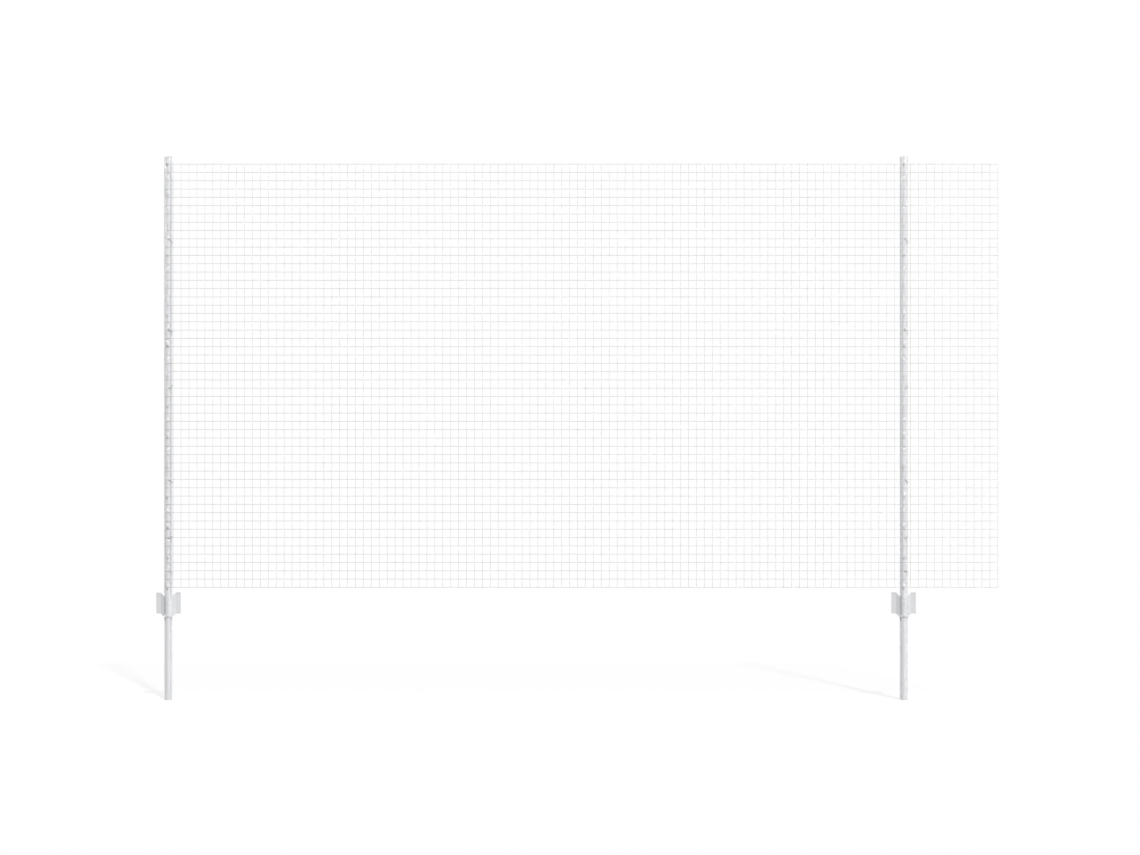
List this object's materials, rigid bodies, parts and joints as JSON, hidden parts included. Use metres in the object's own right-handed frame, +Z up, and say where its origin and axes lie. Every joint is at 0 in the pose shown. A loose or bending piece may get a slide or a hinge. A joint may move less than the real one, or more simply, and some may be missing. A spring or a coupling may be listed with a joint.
{
  "type": "steel mesh fence panel on two posts",
  "caption": "Welded square steel mesh, 1.3 m high, tied to two hooked U-section posts with winged anchor plates.",
  "frame": {"origin": "foot of the left post, at the middle of its crown sheet", "axes": "+X along the fence to the right, -Y towards the mesh side, +Z up"},
  "size_m": [2.5786, 0.0209, 1.665],
  "materials": {
    "post_steel": "bright zinc",
    "plate_steel": "bright zinc",
    "mesh_wire": "zinc coated",
    "tie_wire": "dull zinc"
  },
  "bodies": {
    "root": {"post_left": "post_steel", "anchor_plate_left": "plate_steel", "tie_left_1": "tie_wire", "tie_left_2": "tie_wire", "tie_left_3": "tie_wire", "tie_left_4": "tie_wire", "tie_left_5": "tie_wire", "tie_left_6": "tie_wire", "post_right": "post_steel", "anchor_plate_right": "plate_steel", "tie_right_1": "tie_wire", "tie_right_2": "tie_wire", "tie_right_3": "tie_wire", "tie_right_4": "tie_wire", "tie_right_5": "tie_wire", "tie_right_6": "tie_wire", "line_wires_1": "mesh_wire", "line_wires_2": "mesh_wire", "line_wires_3": "mesh_wire", "line_wires_4": "mesh_wire", "cross_wires_1": "mesh_wire", "cross_wires_2": "mesh_wire", "cross_wires_3": "mesh_wire", "cross_wires_4": "mesh_wire", "cross_wires_5": "mesh_wire", "cross_wires_6": "mesh_wire", "cross_wires_7": "mesh_wire", "cross_wires_8": "mesh_wire"}
  },
  "joints": []
}
